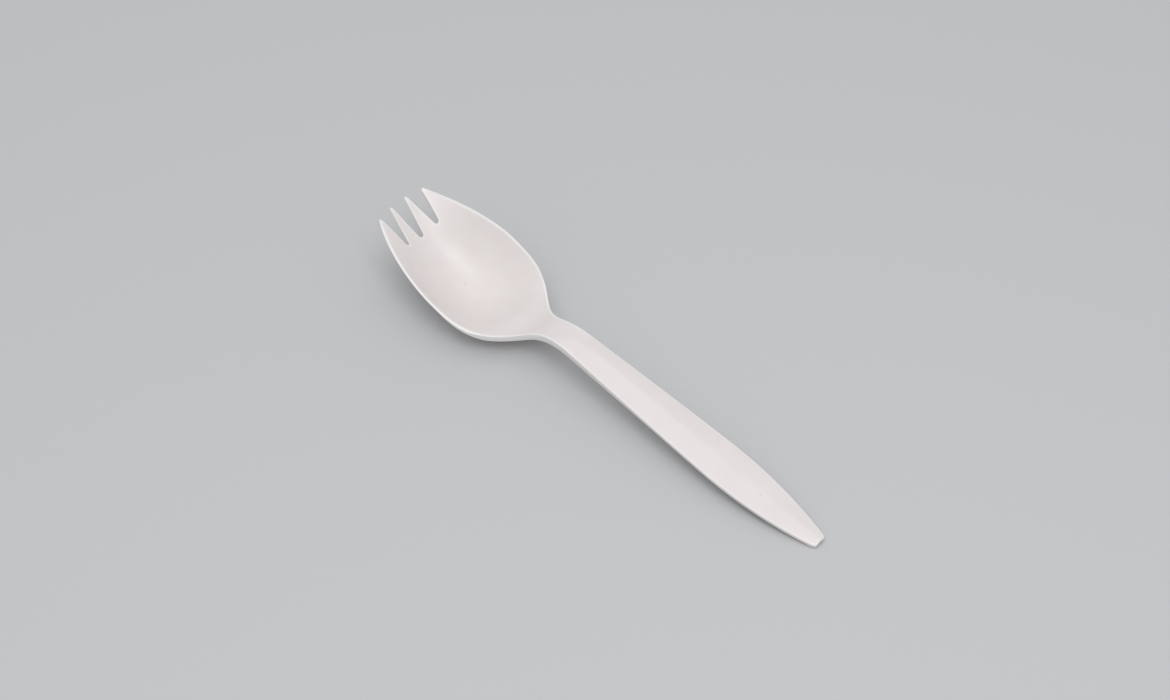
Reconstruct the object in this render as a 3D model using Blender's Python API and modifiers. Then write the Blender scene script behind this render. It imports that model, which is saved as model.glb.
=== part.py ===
"""Disposable plastic spork: one injection-moulded piece, lying bowl up on its bowl and its handle's end.

X runs from the tines to the handle's end, Y across and Z up. The origin is the middle of the
bounding box's base. A station is a distance along X from the inner tine tips. Sizes are in metres.
"""

import math

import bmesh
import bpy
import numpy as np

# Plan of the outer edge, seen from above
LENGTH = 0.145
BOWL_WIDTH = 0.03165
BOWL_WIDEST_AT = 0.02725
BOWL_NOSE_POWER = 1.64
TINE_SPREAD = 0.01615
NECK_WIDTH = 0.0077
NECK_AT = 0.05935
SHOULDER_POWER = 3.36
SHOULDER_FLARE = 4.33
HANDLE_WIDTH = 0.01193
HANDLE_WIDEST_FROM_END = 0.0307
HANDLE_SPREAD_POWER = 1.244
HANDLE_TAPER_POWER = 2.065
END_WIDTH = 0.0040
END_CORNER = 0.0006
END_SQUARES_OVER = 0.006

# Height of the outer edge above the ground: straight runs with a rounded bend between two of them
TIP_HEIGHT = 0.0181
BELLY_AT = 0.02375
BELLY_HEIGHT = 0.0126
BELLY_ROUNDING = 0.00687
DIP_AT = 0.0464
DIP_HEIGHT = 0.00537
DIP_ROUNDING = 0.00495
CREST_AT = 0.0592
CREST_HEIGHT = 0.01294
CREST_ROUNDING = 0.00629

# Floor of the bowl along its middle: a bend between a front and a back slope
FLOOR_LOWEST_AT = 0.0309
FLOOR_SLOPE = 1.098
FLOOR_ROUNDING = 0.02254
FLOOR_BLEND = 0.0012

# Cross-sections
WALL = 0.00095
NECK_EXTRA = 0.00125
EXTRA_STARTS_AT = 0.0245
EXTRA_FULL_FROM = 0.044
EXTRA_FULL_TO = 0.050
EXTRA_ENDS_AT = 0.1
TINE_ROUNDNESS = 0.465
BOWL_ROUNDNESS = 1.4
BOWL_ROUND_FROM = 0.01
BOWL_ROUND_BY = 0.024
RIM_TURNS_FROM = 0.044
RIM_TURNS_BY = 0.056
CROWN_AT_NECK = 0.0016
CROWN_AT_END = 0.0006
CROWN_ROUNDNESS = 0.5
CROWN_STARTS_AT = 0.058
CROWN_RUN_IN = 0.016
EDGE_BULGE = 0.00012
LAND_HEIGHT = 0.0005

# Tines and the three notches between them
OUTER_TIP_SETBACK = 0.00133
TIP_WIDTH = 0.0007
INNER_TIP_AT = 0.00271
SIDE_ROOT_AT = 0.00925
SIDE_ROOT_OFFSET = 0.0055
MIDDLE_ROOT_AT = 0.00885
ROOT_RADIUS = 0.0008

# Spacing of the sections and of the points across them
BOWL_STEP = 0.0018
HANDLE_STEP = 0.0036
ACROSS = 11
ROOT_STEPS = 6
CORNER_STEPS = 3
WELD_DISTANCE = 0.00001

PLASTIC_COLOUR = (0.69, 0.64, 0.63, 1.0)
PLASTIC_ROUGHNESS = 0.38


def turn(distance, reach):
    """Zero before a bend and the distance after it, with a parabola over its reach either side."""
    inside = np.clip(distance + reach, 0.0, 2 * reach)
    return inside ** 2 / (4 * reach) + np.maximum(distance - reach, 0.0)


def bend_line(station, corners, roundings):
    """Height along straight runs through the corners, with the inner corners rounded."""
    slopes = [(b[1] - a[1]) / (b[0] - a[0]) for a, b in zip(corners, corners[1:])]
    height = corners[0][1] + slopes[0] * (station - corners[0][0])
    for corner, before, after, rounding in zip(corners[1:], slopes, slopes[1:], roundings):
        height = height + (after - before) * turn(station - corner[0], rounding)
    return height


def ease(station, start, end):
    """Smooth step from 0 at the start to 1 at the end."""
    share = np.clip((station - start) / (end - start), 0.0, 1.0)
    return share * share * (3 - 2 * share)


def half_width(station):
    """Half of the spork's width at the outer edge."""
    widest = BOWL_WIDTH / 2
    neck = NECK_WIDTH / 2
    grip = HANDLE_WIDTH / 2
    grip_at = LENGTH - HANDLE_WIDEST_FROM_END
    tip_share = (TINE_SPREAD / BOWL_WIDTH) ** BOWL_NOSE_POWER
    nose_reach = (BOWL_WIDEST_AT - OUTER_TIP_SETBACK) / (1 - tip_share) ** (1 / BOWL_NOSE_POWER)
    if station < BOWL_WIDEST_AT:
        ahead = (BOWL_WIDEST_AT - station) / nose_reach
        return widest * (1 - ahead ** BOWL_NOSE_POWER) ** (1 / BOWL_NOSE_POWER)
    if station < NECK_AT:
        behind = (station - BOWL_WIDEST_AT) / (NECK_AT - BOWL_WIDEST_AT)
        return neck + (widest - neck) * (1 - behind ** SHOULDER_POWER) ** SHOULDER_FLARE
    if station < grip_at:
        ahead = (grip_at - station) / (grip_at - NECK_AT)
        return grip - (grip - neck) * ahead ** HANDLE_SPREAD_POWER
    behind = (station - grip_at) / HANDLE_WIDEST_FROM_END
    into_corner = max(0.0, station - (LENGTH - END_CORNER))
    corner_cut = END_CORNER - math.sqrt(END_CORNER ** 2 - into_corner ** 2)
    return grip - (grip - END_WIDTH / 2) * behind ** HANDLE_TAPER_POWER - corner_cut


def edge_height(station):
    """Height of the outer edge: the rim of the bowl and the top edge of the handle."""
    corners = [
        (0.0, TIP_HEIGHT),
        (BELLY_AT, BELLY_HEIGHT),
        (DIP_AT, DIP_HEIGHT),
        (CREST_AT, CREST_HEIGHT),
        (LENGTH, WALL),
    ]
    return bend_line(station, corners, [BELLY_ROUNDING, DIP_ROUNDING, CREST_ROUNDING])


def neck_extra(station):
    """What the wall is thicker by, downwards, from the back of the bowl through the neck."""
    growing = ease(station, EXTRA_STARTS_AT, EXTRA_FULL_FROM)
    shrinking = ease(station, EXTRA_FULL_TO, EXTRA_ENDS_AT)
    return NECK_EXTRA * growing * (1 - shrinking)


def depth(station):
    """Depth of the middle of the upper face below its edge; negative where the handle is crowned."""
    away = station - FLOOR_LOWEST_AT
    underside = FLOOR_SLOPE * (np.hypot(away, FLOOR_ROUNDING) - FLOOR_ROUNDING)
    floor = underside + WALL + neck_extra(station)
    bowl = turn(edge_height(station) - floor, FLOOR_BLEND)
    along = (station - CROWN_STARTS_AT) / (LENGTH - CROWN_STARTS_AT)
    crown = CROWN_AT_NECK + (CROWN_AT_END - CROWN_AT_NECK) * along
    return bowl - crown * ease(station, CROWN_STARTS_AT, CROWN_STARTS_AT + CROWN_RUN_IN)


def rise(share, roundness):
    """Rise across a section from 0 at the middle to 1 at the edge: a vee with a rounded middle."""
    return (np.hypot(share, roundness) - roundness) / (math.hypot(1.0, roundness) - roundness)


def rise_at_edge(roundness):
    """Slope of the rise where it meets the edge."""
    reach = math.hypot(1.0, roundness)
    return 1 / (reach * (reach - roundness))


def roundness(station):
    """How round the middle of the section is: almost a vee between the tines, full in the bowl."""
    bowl = TINE_ROUNDNESS + (BOWL_ROUNDNESS - TINE_ROUNDNESS) * ease(station, BOWL_ROUND_FROM, BOWL_ROUND_BY)
    return bowl + (CROWN_ROUNDNESS - bowl) * ease(station, RIM_TURNS_BY, CROWN_STARTS_AT)


def rim_tilt(station):
    """1 where the rim's face is square to the wall, 0 where the edge stands upright."""
    return 1 - ease(station, RIM_TURNS_FROM, RIM_TURNS_BY)


def upper_row(station, shares):
    """Points of the upper face from the middle to the edge of one section."""
    width = half_width(station)
    drop = depth(station)
    round_by = roundness(station)
    edge_slope = drop / width * rise_at_edge(round_by)
    shift = rim_tilt(station) * WALL / math.hypot(1.0, edge_slope)
    edge_y = width - shift * edge_slope
    edge_z = edge_height(station) + shift
    middle_z = edge_height(station) - drop
    across = edge_y * shares
    height = middle_z + (edge_z - middle_z) * rise(shares, round_by)
    return np.stack([np.full_like(across, station), across, height], axis=1)


def stations():
    """Stations of the sections, closer together in the bowl than in the handle."""
    front = np.arange(-BOWL_STEP, CROWN_STARTS_AT, BOWL_STEP)
    back_end = LENGTH - END_CORNER
    back_count = round((back_end - front[-1]) / HANDLE_STEP)
    back = np.linspace(front[-1], back_end, back_count + 1)[1:]
    turns = np.linspace(0.0, math.pi / 2, CORNER_STEPS + 1)[1:]
    return np.concatenate([front, back, back_end + END_CORNER * np.sin(turns)])


def sections():
    """Upper points, outer corner and lower points of every section, the lower ones a wall below."""
    shares = np.linspace(0.0, 1.0, ACROSS)
    along = stations()
    upper = np.stack([upper_row(station, shares) for station in along])
    run = np.gradient(upper, along, axis=0)
    sweep = np.gradient(upper, shares, axis=1)
    square = np.cross(run, sweep)
    square[:, 0, 1] = 0.0
    square /= np.linalg.norm(square, axis=2, keepdims=True)
    tilt = rim_tilt(along)[:, None, None]
    through = tilt * square + (1 - tilt) * np.array([0.0, 0.0, 1.0])
    upright = ease(along, LENGTH - END_SQUARES_OVER, LENGTH)[:, None]
    through[:, :, 0] = square[:, :, 0] * (1 - upright)
    through /= np.linalg.norm(through, axis=2, keepdims=True)
    extra = neck_extra(along)[:, None, None] * np.array([0.0, 0.0, 1.0])
    lower = upper - WALL * through - extra
    land = ease(neck_extra(along), 0.0, LAND_HEIGHT)[:, None]
    corner = upper[:, -1] - WALL * through[:, -1] * (1 + land) / 2
    corner[:, 1] += EDGE_BULGE * (1 - land[:, 0])
    return upper, corner, lower


def half_body():
    """Loft of one half of the spork, open at the middle plane."""
    upper, corner, lower = sections()
    loops = np.concatenate([upper, corner[:, None], lower[:, ::-1]], axis=1)
    loops[:, :, 0] -= LENGTH / 2
    mesh = bmesh.new()
    rows = [[mesh.verts.new(point) for point in loop] for loop in loops]
    for row, following in zip(rows, rows[1:]):
        for a, b, c, d in zip(row, row[1:], following[1:], following):
            mesh.faces.new((a, d, c, b))
    mesh.faces.new(rows[0])
    mesh.faces.new(rows[-1][::-1])
    data = bpy.data.meshes.new("spork")
    mesh.to_mesh(data)
    mesh.free()
    return data


def root_points(before, centre, after):
    """Round root of a notch: points on its circle between the tangents from two tip corners."""
    angles = []
    for corner, side in ((before, 1), (after, -1)):
        away = math.atan2(corner[1] - centre[1], corner[0] - centre[0])
        angles.append(away - side * math.acos(ROOT_RADIUS / math.dist(corner, centre)))
    start, end = angles
    if end > start:
        end -= 2 * math.pi
    return [
        (centre[0] + ROOT_RADIUS * math.cos(angle), centre[1] + ROOT_RADIUS * math.sin(angle))
        for angle in np.linspace(start, end, ROOT_STEPS)
    ]


def notch_outline():
    """Outline, seen from above, of all that is cut away ahead of the tines and between them."""
    outer_corner = (OUTER_TIP_SETBACK, TINE_SPREAD / 2 - TIP_WIDTH)
    inner_corners = [(0.0, INNER_TIP_AT + TIP_WIDTH / 2), (0.0, INNER_TIP_AT - TIP_WIDTH / 2)]
    side_centre = (SIDE_ROOT_AT - ROOT_RADIUS, SIDE_ROOT_OFFSET)
    middle_centre = (MIDDLE_ROOT_AT - ROOT_RADIUS, 0.0)
    half = [(-BOWL_WIDTH, BOWL_WIDTH), (OUTER_TIP_SETBACK, BOWL_WIDTH), outer_corner]
    half += root_points(outer_corner, side_centre, inner_corners[0])
    half += inner_corners
    mirrored = [(x, -y) for x, y in reversed(half)]
    middle = root_points(inner_corners[1], middle_centre, mirrored[0])
    return half + middle + mirrored


def outline_solid(name, points, height, collection):
    """Upright prism on an outline, made as a filled curve and turned into a mesh."""
    curve = bpy.data.curves.new(name, "CURVE")
    curve.dimensions = "2D"
    curve.fill_mode = "BOTH"
    curve.extrude = height / 2
    spline = curve.splines.new("POLY")
    spline.points.add(len(points) - 1)
    for point, (x, y) in zip(spline.points, points):
        point.co = (x - LENGTH / 2, y, 0.0, 1.0)
    spline.use_cyclic_u = True
    flat = bpy.data.objects.new(name, curve)
    collection.objects.link(flat)
    bpy.context.view_layer.update()
    depsgraph = bpy.context.evaluated_depsgraph_get()
    data = bpy.data.meshes.new_from_object(flat.evaluated_get(depsgraph))
    bpy.data.objects.remove(flat)
    mesh = bmesh.new()
    mesh.from_mesh(data)
    bmesh.ops.remove_doubles(mesh, verts=mesh.verts, dist=WELD_DISTANCE)
    bmesh.ops.recalc_face_normals(mesh, faces=mesh.faces)
    mesh.to_mesh(data)
    mesh.free()
    solid = bpy.data.objects.new(name, data)
    solid.location.z = height / 2
    collection.objects.link(solid)
    return solid


def plastic():
    """White polypropylene with a satin finish."""
    material = bpy.data.materials.new("white_plastic")
    material.use_nodes = True
    shader = material.node_tree.nodes["Principled BSDF"]
    shader.inputs["Base Color"].default_value = PLASTIC_COLOUR
    shader.inputs["Roughness"].default_value = PLASTIC_ROUGHNESS
    shader.inputs["Metallic"].default_value = 0.0
    return material


def new_collection(name):
    collection = bpy.data.collections.new(name)
    bpy.context.scene.collection.children.link(collection)
    return collection


def build():
    for item in list(bpy.data.objects):
        bpy.data.objects.remove(item)
    parts = new_collection("plastic_spork")
    cutters = new_collection("cutters")

    body = bpy.data.objects.new("spork", half_body())
    parts.objects.link(body)
    body.data.materials.append(plastic())
    body.data.shade_smooth()

    notches = outline_solid("notch_cutter", notch_outline(), 2 * TIP_HEIGHT, cutters)
    notches.display_type = "WIRE"
    notches.hide_render = True

    mirror = body.modifiers.new("both_halves", "MIRROR")
    mirror.use_axis = (False, True, False)
    mirror.merge_threshold = WELD_DISTANCE
    cut = body.modifiers.new("notches", "BOOLEAN")
    cut.operation = "DIFFERENCE"
    cut.object = notches


build()
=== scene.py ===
"""Looks of a disposable plastic spork: one satin white moulding, lying bowl up on a pale floor.

X runs from the tines to the handle's end, Y across and Z up. A station is a distance along X from the
inner tine tips, and an inset is a distance inwards from the plan outline. Sizes are in metres.
"""

import math

import bpy
import numpy as np
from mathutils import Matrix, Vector
from mathutils.geometry import delaunay_2d_cdt
from mathutils.kdtree import KDTree


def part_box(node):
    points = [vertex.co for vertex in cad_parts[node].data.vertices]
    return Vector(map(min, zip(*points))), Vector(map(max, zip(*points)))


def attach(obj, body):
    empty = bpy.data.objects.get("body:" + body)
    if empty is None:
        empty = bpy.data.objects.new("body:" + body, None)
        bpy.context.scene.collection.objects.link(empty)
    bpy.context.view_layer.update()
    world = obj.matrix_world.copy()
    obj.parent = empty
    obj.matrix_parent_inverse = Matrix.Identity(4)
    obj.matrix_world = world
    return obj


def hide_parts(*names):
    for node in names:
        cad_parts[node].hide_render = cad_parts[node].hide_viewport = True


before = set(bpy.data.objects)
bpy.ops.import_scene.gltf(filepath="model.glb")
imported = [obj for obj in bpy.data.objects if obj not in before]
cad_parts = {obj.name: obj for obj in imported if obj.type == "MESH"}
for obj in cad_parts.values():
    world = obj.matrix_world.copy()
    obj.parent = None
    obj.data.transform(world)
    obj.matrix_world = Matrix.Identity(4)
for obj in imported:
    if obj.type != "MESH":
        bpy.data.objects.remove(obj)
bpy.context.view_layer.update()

NODE = "spork"
NODE_LOW, NODE_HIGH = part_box(NODE)

# Plan of the outer edge, seen from above
LENGTH = NODE_HIGH.x - NODE_LOW.x
BOWL_WIDTH = 0.03165
BOWL_WIDEST_AT = 0.02725
BOWL_NOSE_POWER = 1.64
TINE_SPREAD = 0.01615
NECK_WIDTH = 0.0077
NECK_AT = 0.05935
SHOULDER_POWER = 3.36
SHOULDER_FLARE = 4.33
HANDLE_WIDTH = 0.01193
HANDLE_WIDEST_FROM_END = 0.0307
HANDLE_SPREAD_POWER = 1.244
HANDLE_TAPER_POWER = 2.065
END_WIDTH = 0.0040
END_CORNER = 0.0006

# Height of the outer edge above the ground
TIP_HEIGHT = 0.0181
BELLY_AT = 0.02375
BELLY_HEIGHT = 0.0126
BELLY_ROUNDING = 0.00687
DIP_AT = 0.0464
DIP_HEIGHT = 0.00537
DIP_ROUNDING = 0.00495
CREST_AT = 0.0592
CREST_HEIGHT = 0.01294
CREST_ROUNDING = 0.00629

# Floor of the bowl along its middle
FLOOR_LOWEST_AT = 0.0309
FLOOR_SLOPE = 1.098
FLOOR_ROUNDING = 0.02254
FLOOR_BLEND = 0.0012

# Cross-sections
WALL = 0.00095
NECK_EXTRA = 0.00125
EXTRA_STARTS_AT = 0.0245
EXTRA_FULL_FROM = 0.044
EXTRA_FULL_TO = 0.050
EXTRA_ENDS_AT = 0.1
TINE_ROUNDNESS = 0.465
BOWL_ROUNDNESS = 1.4
BOWL_ROUND_FROM = 0.01
BOWL_ROUND_BY = 0.024
RIM_TURNS_FROM = 0.044
RIM_TURNS_BY = 0.056
CROWN_AT_NECK = 0.0016
CROWN_AT_END = 0.0006
CROWN_ROUNDNESS = 0.04
CREASE_SHARE = 0.7
CROWN_STARTS_AT = 0.058
CROWN_RUN_IN = 0.016

# Tines and the notches between them
OUTER_TIP_SETBACK = 0.00133
TIP_RADIUS = 0.00046
INNER_TIP_AT = 0.00271
SIDE_ROOT_AT = 0.00925
SIDE_ROOT_OFFSET = 0.0055
MIDDLE_ROOT_AT = 0.00885
SIDE_ROOT_RADIUS = 0.00062
MIDDLE_ROOT_RADIUS = 0.00078
TINE_WALL_SHARE = 0.7
TINE_WALL_BY = 0.007

# Rim, its narrow land and the rounding of the edges
EDGE_RADIUS = 0.00017
EDGE_THINNEST = 0.00038
RIM_WALL = 0.00062
RIM_THINS_POWER = 8
LAND_FALL = 0.25
LAND_LEVEL_FROM = 0.12
LAND_LEVEL_BY = 0.55
LAND_ROUNDING = 0.0001
STEEPEST_LAND = 3.0
EDGE_ANGLES = [30, 60, 90]

# Spacing of the mesh
OUTLINE_STEP = 0.00028
HANDLE_OUTLINE_STEP = 0.0005
ARC_STEP = math.radians(15)
RING_INSETS = [0.00026, 0.00036, 0.00048, 0.00062, 0.00078, 0.00096, 0.00118, 0.00145]
GRID_STEP = 0.00045
CLOSEST_SHARE = 0.05
SLOPE_STEP = 0.00002

# Colours
PLASTIC_COLOUR = (0.757, 0.715, 0.710, 1.0)
CLOUDY_COLOUR = (0.738, 0.693, 0.687, 1.0)
# Painted highlight: a lighter colour for the thin edges, standing in for their glint and glow
EDGE_HIGHLIGHT_COLOUR = (0.83, 0.805, 0.808, 1.0)
# Painted shade for the moulding's small marks
SHADE_MARK_COLOUR = (0.42, 0.39, 0.38, 1.0)
FLOOR_COLOUR = (0.52, 0.53, 0.54, 1.0)

# Painted highlight on the thin edges: insets, strengths, and the shares of the half-width between which
# a notch ends
HIGHLIGHT_FULL_TO = 0.00042
HIGHLIGHT_ENDS_AT = 0.00072
HIGHLIGHT_ON_HANDLE = 0.35
HIGHLIGHT_IN_NOTCHES = 0.5
NOTCHES_WITHIN = 0.8
RIM_FROM = 0.95

# Small marks of the moulding, drawn only as painted shade: place, radius and strength
SHADE_SPECKS = [
    ((-0.04897, 0.00102), 0.00040, 0.16),
    ((0.0543, -0.00089), 0.00026, 0.28),
]
SPECK_CORE = 0.4
SPECK_FADES_BY = 1.5
RING_AT = (0.0589, -0.00089)
RING_RADIUS = 0.00055
RING_LINE = 0.00014
RING_STRENGTH = 0.16

# Patterns of the plastic: waves a metre, and what they are mapped from and to
CLOUD_SCALE = 140.0
CLOUD_RANGE = [0.35, 0.7]
SHEEN_SCALE = 420.0
SHEEN_RANGE = [0.2, 0.8]
ROUGHNESS_RANGE = [0.30, 0.34]
WAVE_SCALE = 160.0
WAVE_HEIGHT = 12.0
GRAIN_SCALE = 2400.0
GRAIN_DEPTH = 0.000002

FLOOR_SIZE = 4.0
FLOOR_ROUGHNESS = 0.75

# Camera and lights
CAMERA_AT = (0.21545, -0.2411, 0.4029)
CAMERA_TARGET = (-0.01095, 0.00685, 0.0)
LENS_MM = 61.54
SENSOR_MM = 36.0
CLIP_START = 0.01
SKY_STRENGTH = 0.56
LAMPS = [
    ("overhead", (-0.05, -0.05, 0.85), (1.3, 1.3), 3.0),
    ("key", (0.29, -0.17, 0.73), (0.42, 0.42), 1.75),
]


def turn(distance, reach):
    """Zero before a bend and the distance after it, with a parabola over its reach either side."""
    within = np.clip(distance + reach, 0.0, 2 * reach)
    return within ** 2 / (4 * reach) + np.maximum(distance - reach, 0.0)


def ease(station, start, end):
    """Smooth step from 0 at the start to 1 at the end."""
    share = np.clip((station - start) / (end - start), 0.0, 1.0)
    return share * share * (3 - 2 * share)


def bend_line(station, corners, roundings):
    """Height along straight runs through the corners, with the inner corners rounded."""
    slopes = [(b[1] - a[1]) / (b[0] - a[0]) for a, b in zip(corners, corners[1:])]
    height = corners[0][1] + slopes[0] * (station - corners[0][0])
    for corner, before, after, rounding in zip(corners[1:], slopes, slopes[1:], roundings):
        height = height + (after - before) * turn(station - corner[0], rounding)
    return height


def half_width(station):
    """Half of the spork's width at the outer edge."""
    widest = BOWL_WIDTH / 2
    neck = NECK_WIDTH / 2
    grip = HANDLE_WIDTH / 2
    grip_at = LENGTH - HANDLE_WIDEST_FROM_END
    tip_share = (TINE_SPREAD / BOWL_WIDTH) ** BOWL_NOSE_POWER
    nose_reach = (BOWL_WIDEST_AT - OUTER_TIP_SETBACK) / (1 - tip_share) ** (1 / BOWL_NOSE_POWER)
    ahead = np.clip((BOWL_WIDEST_AT - station) / nose_reach, 0.0, 1.0)
    nose = widest * (1 - ahead ** BOWL_NOSE_POWER) ** (1 / BOWL_NOSE_POWER)
    behind = np.clip((station - BOWL_WIDEST_AT) / (NECK_AT - BOWL_WIDEST_AT), 0.0, 1.0)
    shoulder = neck + (widest - neck) * (1 - behind ** SHOULDER_POWER) ** SHOULDER_FLARE
    before_grip = np.clip((grip_at - station) / (grip_at - NECK_AT), 0.0, 1.0)
    spread = grip - (grip - neck) * before_grip ** HANDLE_SPREAD_POWER
    past_grip = np.clip((station - grip_at) / HANDLE_WIDEST_FROM_END, 0.0, 1.0)
    taper = grip - (grip - END_WIDTH / 2) * past_grip ** HANDLE_TAPER_POWER
    stretches = [station < BOWL_WIDEST_AT, station < NECK_AT, station < grip_at]
    return np.select(stretches, [nose, shoulder, spread], taper)


def edge_height(station):
    """Height of the outer edge: the rim of the bowl and the top edge of the handle."""
    corners = [
        (0.0, TIP_HEIGHT),
        (BELLY_AT, BELLY_HEIGHT),
        (DIP_AT, DIP_HEIGHT),
        (CREST_AT, CREST_HEIGHT),
        (LENGTH, WALL),
    ]
    return bend_line(station, corners, [BELLY_ROUNDING, DIP_ROUNDING, CREST_ROUNDING])


def neck_extra(station):
    """What the wall is thicker by, downwards, from the back of the bowl through the neck."""
    growing = ease(station, EXTRA_STARTS_AT, EXTRA_FULL_FROM)
    shrinking = ease(station, EXTRA_FULL_TO, EXTRA_ENDS_AT)
    return NECK_EXTRA * growing * (1 - shrinking)


def depth(station):
    """Depth of the middle of the upper face below its edge; negative where the handle is crowned."""
    away = station - FLOOR_LOWEST_AT
    underside = FLOOR_SLOPE * (np.hypot(away, FLOOR_ROUNDING) - FLOOR_ROUNDING)
    floor = underside + WALL + neck_extra(station)
    bowl = turn(edge_height(station) - floor, FLOOR_BLEND)
    along = (station - CROWN_STARTS_AT) / (LENGTH - CROWN_STARTS_AT)
    crown = CROWN_AT_NECK + (CROWN_AT_END - CROWN_AT_NECK) * along
    return bowl - crown * ease(station, CROWN_STARTS_AT, CROWN_STARTS_AT + CROWN_RUN_IN)


def roundness(station):
    """How round the middle of the section is: almost a vee between the tines, full in the bowl."""
    rounded = ease(station, BOWL_ROUND_FROM, BOWL_ROUND_BY)
    bowl = TINE_ROUNDNESS + (BOWL_ROUNDNESS - TINE_ROUNDNESS) * rounded
    return bowl + (CROWN_ROUNDNESS - bowl) * ease(station, RIM_TURNS_BY, CROWN_STARTS_AT)


def rim_tilt(station):
    """1 where the rim's face is square to the wall, 0 where the edge stands upright."""
    return 1 - ease(station, RIM_TURNS_FROM, RIM_TURNS_BY)


def rim_wall(station):
    """Thickness of the wall at its edge."""
    return WALL + (RIM_WALL - WALL) * rim_tilt(station)


def rim_places(station):
    """Slope of the wall at the rim, and half-width and height of the rim's inner corner."""
    round_by = roundness(station)
    reach = np.hypot(1.0, round_by)
    slope = depth(station) / half_width(station) / (reach * (reach - round_by))
    shift = rim_tilt(station) * rim_wall(station) / np.hypot(1.0, slope)
    return slope, half_width(station) - shift * slope, edge_height(station) + shift


def rise(station, share):
    """Rise from 0 at the middle to 1 at the rim; on the handle a creased ridge with arched flanks."""
    round_by = roundness(station)
    vee = (np.hypot(share, round_by) - round_by) / (np.hypot(1.0, round_by) - round_by)
    arched = CREASE_SHARE * vee + (1 - CREASE_SHARE) * share ** 2
    return vee + (arched - vee) * ease(station, RIM_TURNS_BY, CROWN_STARTS_AT)


def inner_face(station, across):
    """Height of the upper face, carried on past the rim's inner corner."""
    _, corner_at, corner_height = rim_places(station)
    middle = edge_height(station) - depth(station)
    return middle + (corner_height - middle) * rise(station, np.abs(across) / corner_at)


def rim_land(station, across):
    """Height of the rim's land: nearly level where the wall is steep, and gone on the handle."""
    slope, _, corner_height = rim_places(station)
    height = edge_height(station)
    level = ease(slope, LAND_LEVEL_FROM, LAND_LEVEL_BY)
    fall = LAND_FALL + STEEPEST_LAND * (1 - rim_tilt(station))
    inwards = half_width(station) - np.abs(across)
    return height + (1 - level) * (corner_height - height) + fall * inwards


def both_faces(station, across):
    """Heights of the upper and the lower face."""
    inner = inner_face(station, across)
    along = inner_face(station + SLOPE_STEP, across) - inner_face(station - SLOPE_STEP, across)
    sideways = inner_face(station, across + SLOPE_STEP) - inner_face(station, across - SLOPE_STEP)
    steepness = np.hypot(along, sideways) / (2 * SLOPE_STEP)
    share = np.minimum(np.abs(across) / half_width(station), 1.0)
    wall = WALL + (rim_wall(station) - WALL) * share ** RIM_THINS_POWER
    wall *= TINE_WALL_SHARE + (1 - TINE_WALL_SHARE) * ease(station, 0.0, TINE_WALL_BY)
    thickness = wall * (1 + rim_tilt(station) * (np.hypot(1.0, steepness) - 1))
    rounding = LAND_ROUNDING * rim_tilt(station) + SLOPE_STEP
    upper = inner - turn(inner - rim_land(station, across), rounding)
    return upper, inner - thickness - neck_extra(station)


def arc(centre, radius, start, end):
    """Points round a circle while the path's direction turns from start to end; hollow if negative."""
    steps = max(2, math.ceil(abs(end - start) / ARC_STEP))
    headings = np.linspace(start, end, steps + 1)
    right = np.stack([np.sin(headings), -np.cos(headings)], axis=1)
    return np.array(centre) + radius * right


def heading(before, after):
    """Direction of the line that touches two circles, each given as its centre and signed radius."""
    across = after[0][0] - before[0][0]
    up = after[0][1] - before[0][1]
    return math.atan2(up, across) + math.asin((before[1] - after[1]) / math.hypot(across, up))


def filled(points, step):
    """The same path with its straight stretches cut into steps."""
    pieces = []
    for a, b in zip(points, points[1:]):
        count = max(1, round(math.dist(a, b) / step))
        pieces.append(a + (b - a) * np.arange(count)[:, None] / count)
    return np.concatenate(pieces)


def half_outline():
    """Outline of the +Y half, from the middle of the handle's end to the middle notch's root."""
    spread = half_width(OUTER_TIP_SETBACK + SLOPE_STEP) - half_width(OUTER_TIP_SETBACK)
    nose_heading = math.pi + math.atan(float(spread) / SLOPE_STEP)
    rim_start = OUTER_TIP_SETBACK + TIP_RADIUS * (1 + math.sin(nose_heading))
    rim_end = LENGTH - END_CORNER
    bowl_count = round((CROWN_STARTS_AT - rim_start) / OUTLINE_STEP)
    handle_count = round((rim_end - CROWN_STARTS_AT) / HANDLE_OUTLINE_STEP)
    bowl = np.linspace(rim_start, CROWN_STARTS_AT, bowl_count + 1)
    handle = np.linspace(CROWN_STARTS_AT, rim_end, handle_count + 1)[1:-1]
    rim_stations = np.concatenate([bowl, handle])[::-1]
    rim = np.stack([rim_stations, half_width(rim_stations)], axis=1)

    end_circle = ((rim_end, END_WIDTH / 2 - END_CORNER), END_CORNER)
    end_heading = heading(end_circle, (tuple(rim[0]), 0.0))
    corner = arc(*end_circle, math.pi / 2, end_heading)
    tip_middle = rim[-1] - TIP_RADIUS * np.array([math.sin(nose_heading), -math.cos(nose_heading)])
    circles = [
        (tuple(tip_middle), TIP_RADIUS),
        ((SIDE_ROOT_AT - SIDE_ROOT_RADIUS, SIDE_ROOT_OFFSET), -SIDE_ROOT_RADIUS),
        ((TIP_RADIUS, INNER_TIP_AT), TIP_RADIUS),
        ((MIDDLE_ROOT_AT - MIDDLE_ROOT_RADIUS, 0.0), -MIDDLE_ROOT_RADIUS),
    ]
    turns = [heading(a, b) % (2 * math.pi) for a, b in zip(circles, circles[1:])]
    headings = [nose_heading] + turns + [math.pi * 1.5]
    front = [arc(*circle, a, b) for circle, a, b in zip(circles, headings, headings[1:])]

    start = np.array([[LENGTH, 0.0]])
    return filled(np.concatenate([start, corner, rim] + front), HANDLE_OUTLINE_STEP)


def outline():
    """Closed outline of the whole spork, counter-clockwise from above."""
    half = half_outline()
    mirrored = half[::-1] * np.array([1.0, -1.0])
    whole = np.concatenate([half, mirrored[1:-1]])
    gaps = np.linalg.norm(whole - np.roll(whole, 1, axis=0), axis=1)
    return whole[gaps > CLOSEST_SHARE * OUTLINE_STEP]


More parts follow.
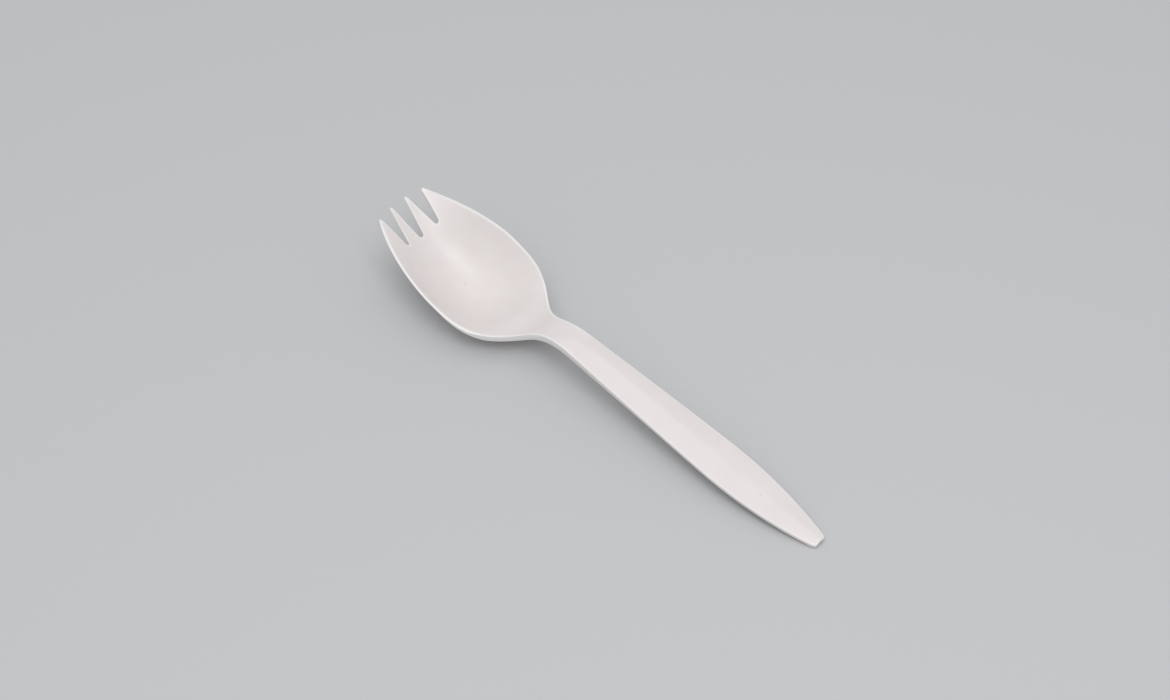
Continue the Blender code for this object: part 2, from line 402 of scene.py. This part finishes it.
def inward(points):
    """Unit directions that point inwards, square to the closed outline."""
    run = np.roll(points, -1, axis=0) - np.roll(points, 1, axis=0)
    run /= np.linalg.norm(run, axis=1, keepdims=True)
    return np.stack([-run[:, 1], run[:, 0]], axis=1)


def tree_of(points):
    tree = KDTree(len(points))
    for index, point in enumerate(points):
        tree.insert((point[0], point[1], 0.0), index)
    tree.balance()
    return tree


def away_from(tree, points):
    """Distance from each point to the nearest one in the tree."""
    return np.array([tree.find((x, y, 0.0))[2] for x, y in points])


def thinned(points, spacing):
    """The points of a ring less those too close to the one kept before."""
    kept = []
    for point in points:
        if not kept or math.dist(point, kept[-1]) >= spacing:
            kept.append(point)
    return np.array(kept)


def plan():
    """Points of the plan with their insets, the number on the outline, and the plan's triangles."""
    rim = outline()
    rim_tree = tree_of(rim)
    normals = inward(rim)
    turned = [EDGE_RADIUS * (1 - math.cos(math.radians(angle))) for angle in EDGE_ANGLES]
    points = [rim]
    insets = [np.zeros(len(rim))]
    for inset in turned + RING_INSETS:
        ring = rim + normals * inset
        ring = ring[away_from(rim_tree, ring) > 0.97 * inset]
        ring = thinned(ring, max(0.45 * OUTLINE_STEP, 0.4 * inset))
        points.append(ring)
        insets.append(np.full(len(ring), inset))

    stations = np.arange(0.0, LENGTH, GRID_STEP)
    row_step = GRID_STEP * math.sqrt(3) / 2
    row_count = math.ceil(BOWL_WIDTH / 2 / row_step)
    rows = row_step * np.arange(-row_count, row_count + 1)
    along, across = np.meshgrid(stations, rows)
    along[1::2] += GRID_STEP / 2
    grid = np.stack([along.ravel(), across.ravel()], axis=1)
    near = np.abs(grid[:, 1]) < half_width(np.clip(grid[:, 0], OUTER_TIP_SETBACK, LENGTH))
    grid = grid[near & (grid[:, 0] < LENGTH)]
    grid = grid[inside(rim, grid)]
    reach = away_from(rim_tree, grid)
    clear = reach > RING_INSETS[-1] + GRID_STEP / 2
    points.append(grid[clear])
    insets.append(reach[clear])

    spots = np.concatenate(points)
    edges = [(index, (index + 1) % len(rim)) for index in range(len(rim))]
    vectors = [Vector((x, y)) for x, y in spots]
    result = delaunay_2d_cdt(vectors, edges, [], 1, 1e-9)
    return spots, np.concatenate(insets), len(rim), result[2]


def inside(polygon, points):
    """Which points are inside a closed polygon, by counting the edges crossed."""
    odd = np.zeros(len(points), bool)
    for (ax, ay), (bx, by) in zip(polygon, np.roll(polygon, -1, axis=0)):
        if ay == by:
            continue
        spans = (points[:, 1] > min(ay, by)) & (points[:, 1] <= max(ay, by))
        crossing = ax + (points[:, 1] - ay) * (bx - ax) / (by - ay)
        odd ^= spans & (points[:, 0] < crossing)
    return odd


def painted_edge_highlight(station, across, inset):
    """How strong the painted highlight on the edges is: fully at the bowl's thin rim, less in the
    notches and on the handle.
    """
    outwards = ease(np.abs(across) / half_width(station), NOTCHES_WITHIN, RIM_FROM)
    bowl = HIGHLIGHT_IN_NOTCHES + (1 - HIGHLIGHT_IN_NOTCHES) * outwards
    on_handle = ease(station, RIM_TURNS_BY, RIM_TURNS_BY + CROWN_RUN_IN)
    strength = bowl + (HIGHLIGHT_ON_HANDLE - bowl) * on_handle
    return strength * (1 - ease(inset, HIGHLIGHT_FULL_TO, HIGHLIGHT_ENDS_AT))


def shell_mesh():
    """Closed shell: the plan's triangles as upper and lower face, joined round the edge."""
    spots, insets, rim_count, triangles = plan()
    upper, lower = both_faces(spots[:, 0], spots[:, 1])
    middle = (upper + lower) / 2
    upper = np.maximum(upper, middle + EDGE_THINNEST / 2)
    lower = np.minimum(lower, middle - EDGE_THINNEST / 2)
    left = np.maximum(EDGE_RADIUS - insets, 0.0)
    pull = EDGE_RADIUS - np.sqrt(EDGE_RADIUS ** 2 - left ** 2)
    upper -= pull
    lower += pull
    count = len(spots)
    across = spots[:, 1] + (NODE_LOW.y + NODE_HIGH.y) / 2
    top = np.stack([spots[:, 0] + NODE_LOW.x, across, upper], axis=1)
    bottom = np.stack([spots[:, 0] + NODE_LOW.x, across, lower], axis=1)
    vertices = np.clip(np.concatenate([top, bottom]), NODE_LOW, NODE_HIGH)
    faces = [tuple(face) for face in triangles]
    faces += [tuple(index + count for index in reversed(face)) for face in triangles]
    for index in range(rim_count):
        following = (index + 1) % rim_count
        faces.append((index, index + count, following + count, following))
    data = bpy.data.meshes.new("spork_shell")
    data.from_pydata(vertices.tolist(), [], faces)
    data.update()
    data.shade_smooth()
    # Strength of the painted highlight on the edges, stored as a point attribute for the material
    pale = data.attributes.new("pale", "FLOAT", "POINT")
    pale.data.foreach_set("value", np.tile(painted_edge_highlight(spots[:, 0], spots[:, 1], insets), 2))
    return data


def new_material(name):
    material = bpy.data.materials.new(name)
    material.use_nodes = True
    return material, material.node_tree.nodes, material.node_tree.links


def noise(nodes, links, place, scale, detail):
    """Smooth random pattern; the scale is in waves a metre."""
    node = nodes.new("ShaderNodeTexNoise")
    node.inputs["Scale"].default_value = scale
    node.inputs["Detail"].default_value = detail
    links.new(place, node.inputs["Vector"])
    return node.outputs["Fac"]


def mapped(nodes, links, value, source, result):
    """The value with one range carried over to another and held at its ends."""
    node = nodes.new("ShaderNodeMapRange")
    node.interpolation_type = "SMOOTHSTEP"
    for name, number in zip(["From Min", "From Max", "To Min", "To Max"], source + result):
        node.inputs[name].default_value = number
    links.new(value, node.inputs["Value"])
    return node.outputs["Result"]


def maths(nodes, links, operation, first, second):
    """Arithmetic on a value and a second value or number."""
    node = nodes.new("ShaderNodeMath")
    node.operation = operation
    links.new(first, node.inputs[0])
    if isinstance(second, float):
        node.inputs[1].default_value = second
    else:
        links.new(second, node.inputs[1])
    return node.outputs["Value"]


def tinted(nodes, links, share, colour, other):
    """Mix of a colour or colour output with another colour."""
    node = nodes.new("ShaderNodeMix")
    node.data_type = "RGBA"
    links.new(share, node.inputs["Factor"])
    if isinstance(colour, tuple):
        node.inputs[6].default_value = colour
    else:
        links.new(colour, node.inputs[6])
    node.inputs[7].default_value = other
    return node.outputs[2]


def away(nodes, links, flat_place, spot):
    """Distance in plan from a spot."""
    node = nodes.new("ShaderNodeVectorMath")
    node.operation = "DISTANCE"
    links.new(flat_place, node.inputs[0])
    node.inputs[1].default_value = (spot[0], spot[1], 0.0)
    return node.outputs["Value"]


def shade_marks(nodes, links, place):
    """Strength of the painted shade at the specks in the bowl and on the handle, and at the small ring
    on the handle.
    """
    flat = nodes.new("ShaderNodeVectorMath")
    flat.operation = "MULTIPLY"
    links.new(place, flat.inputs[0])
    flat.inputs[1].default_value = (1.0, 1.0, 0.0)
    flat_place = flat.outputs["Vector"]
    off_line = maths(nodes, links, "SUBTRACT", away(nodes, links, flat_place, RING_AT), RING_RADIUS)
    line = maths(nodes, links, "ABSOLUTE", off_line, 0.0)
    total = mapped(nodes, links, line, [0.0, RING_LINE], [RING_STRENGTH, 0.0])
    for spot, radius, strength in SHADE_SPECKS:
        reach = away(nodes, links, flat_place, spot)
        fade = [SPECK_CORE * radius, SPECK_FADES_BY * radius]
        speck = mapped(nodes, links, reach, fade, [strength, 0.0])
        total = maths(nodes, links, "ADD", total, speck)
    return total


def white_plastic():
    """Satin white plastic: slightly cloudy, lighter at thin edges as a painted highlight, faintly wavy
    and finely grained.
    """
    material, nodes, links = new_material("white_plastic")
    shader = nodes["Principled BSDF"]
    place = nodes.new("ShaderNodeTexCoord").outputs["Object"]
    clouds = mapped(nodes, links, noise(nodes, links, place, CLOUD_SCALE, 3.0), CLOUD_RANGE, [0.0, 1.0])
    colour = tinted(nodes, links, clouds, PLASTIC_COLOUR, CLOUDY_COLOUR)
    # Painted highlight: the thin edges are mixed towards a lighter colour
    edge = nodes.new("ShaderNodeAttribute")
    edge.attribute_name = "pale"
    colour = tinted(nodes, links, edge.outputs["Fac"], colour, EDGE_HIGHLIGHT_COLOUR)
    # Painted shade: darker specks and a darker ring at the moulding's small marks
    colour = tinted(nodes, links, shade_marks(nodes, links, place), colour, SHADE_MARK_COLOUR)
    links.new(colour, shader.inputs["Base Color"])

    patches = noise(nodes, links, place, SHEEN_SCALE, 2.0)
    links.new(mapped(nodes, links, patches, SHEEN_RANGE, ROUGHNESS_RANGE), shader.inputs["Roughness"])

    waves = maths(nodes, links, "MULTIPLY", noise(nodes, links, place, WAVE_SCALE, 1.0), WAVE_HEIGHT)
    grain = noise(nodes, links, place, GRAIN_SCALE, 0.0)
    bump = nodes.new("ShaderNodeBump")
    bump.inputs["Strength"].default_value = 1.0
    bump.inputs["Distance"].default_value = GRAIN_DEPTH
    links.new(maths(nodes, links, "ADD", waves, grain), bump.inputs["Height"])
    links.new(bump.outputs["Normal"], shader.inputs["Normal"])
    return material


def floor():
    """Plain pale ground under the spork, wide enough to fill the picture."""
    data = bpy.data.meshes.new("floor")
    size = FLOOR_SIZE / 2
    corners = [(-size, -size, 0), (size, -size, 0), (size, size, 0), (-size, size, 0)]
    data.from_pydata(corners, [], [(0, 1, 2, 3)])
    ground = bpy.data.objects.new("floor", data)
    bpy.context.scene.collection.objects.link(ground)
    material, nodes, _ = new_material("floor")
    shader = nodes["Principled BSDF"]
    shader.inputs["Base Color"].default_value = FLOOR_COLOUR
    shader.inputs["Roughness"].default_value = FLOOR_ROUGHNESS
    data.materials.append(material)
    return ground


def aimed(item, place, target):
    """Puts a camera or lamp at a place and turns its -Z to a target, level."""
    item.location = place
    direction = Vector(target) - Vector(place)
    item.rotation_euler = direction.to_track_quat("-Z", "Y").to_euler()


def lights():
    """Large soft lamp overhead, a smaller one from the near side and a faint even sky."""
    for name, place, size, watts in LAMPS:
        data = bpy.data.lights.new(name, "AREA")
        data.shape = "RECTANGLE"
        data.size, data.size_y = size
        data.energy = watts
        lamp = bpy.data.objects.new(name, data)
        bpy.context.scene.collection.objects.link(lamp)
        aimed(lamp, place, (0.0, 0.0, 0.0))
    world = bpy.data.worlds.new("sky")
    world.use_nodes = True
    background = world.node_tree.nodes["Background"]
    background.inputs["Color"].default_value = (1.0, 1.0, 1.0, 1.0)
    background.inputs["Strength"].default_value = SKY_STRENGTH
    bpy.context.scene.world = world


def camera():
    data = bpy.data.cameras.new("camera")
    data.lens = LENS_MM
    data.sensor_width = SENSOR_MM
    data.clip_start = CLIP_START
    eye = bpy.data.objects.new("camera", data)
    bpy.context.scene.collection.objects.link(eye)
    aimed(eye, CAMERA_AT, CAMERA_TARGET)
    bpy.context.scene.camera = eye


spork = bpy.data.objects.new("spork_shell", shell_mesh())
bpy.context.scene.collection.objects.link(spork)
spork.data.materials.append(white_plastic())
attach(spork, "root")
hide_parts(NODE)
floor()
lights()
camera()
bpy.context.scene.view_settings.view_transform = "Standard"
